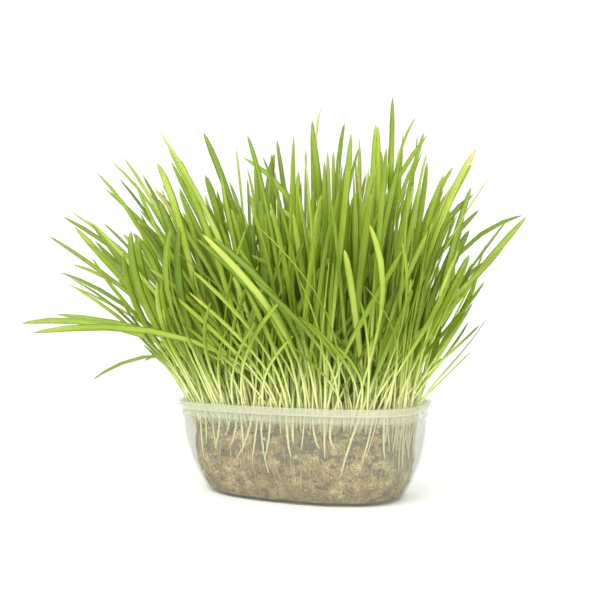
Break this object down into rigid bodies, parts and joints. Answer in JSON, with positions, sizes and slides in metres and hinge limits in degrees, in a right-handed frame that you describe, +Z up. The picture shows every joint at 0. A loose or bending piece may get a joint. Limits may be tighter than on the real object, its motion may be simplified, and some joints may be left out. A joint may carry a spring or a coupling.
{
  "type": "wheatgrass tray",
  "caption": "Tray of wheatgrass: long narrow leaves on pale stems rise from a block of soil in a frosted see-through plastic tub with a turned-down rim.",
  "frame": {"origin": "middle of the tub's flat underside", "axes": "+Z up out of the tub, +X along the tub's long side, +Y across it"},
  "size_m": [0.3241, 0.2483, 0.276],
  "materials": {
    "frosted_plastic": "frosted, see-through, slightly waxy polypropylene",
    "soil": "crumbly, dull, light brown with dark specks",
    "grass": "thin ribbed leaf, soft sheen, pale at the root and yellow-green above"
  },
  "bodies": {
    "root": {"tray": "frosted_plastic", "soil": "soil", "grass_clump_01": "grass", "grass_clump_02": "grass", "grass_clump_03": "grass", "grass_clump_04": "grass", "grass_clump_05": "grass", "grass_clump_06": "grass", "grass_clump_07": "grass", "grass_clump_08": "grass", "grass_clump_09": "grass", "grass_clump_10": "grass", "grass_clump_11": "grass", "grass_clump_12": "grass", "grass_clump_13": "grass", "grass_clump_14": "grass", "grass_clump_15": "grass", "grass_clump_16": "grass", "grass_clump_17": "grass", "grass_clump_18": "grass", "grass_clump_19": "grass", "grass_clump_20": "grass", "grass_clump_21": "grass", "grass_clump_22": "grass", "grass_clump_23": "grass", "grass_clump_24": "grass", "grass_clump_25": "grass", "grass_clump_26": "grass", "grass_clump_27": "grass", "grass_clump_28": "grass"}
  },
  "joints": []
}
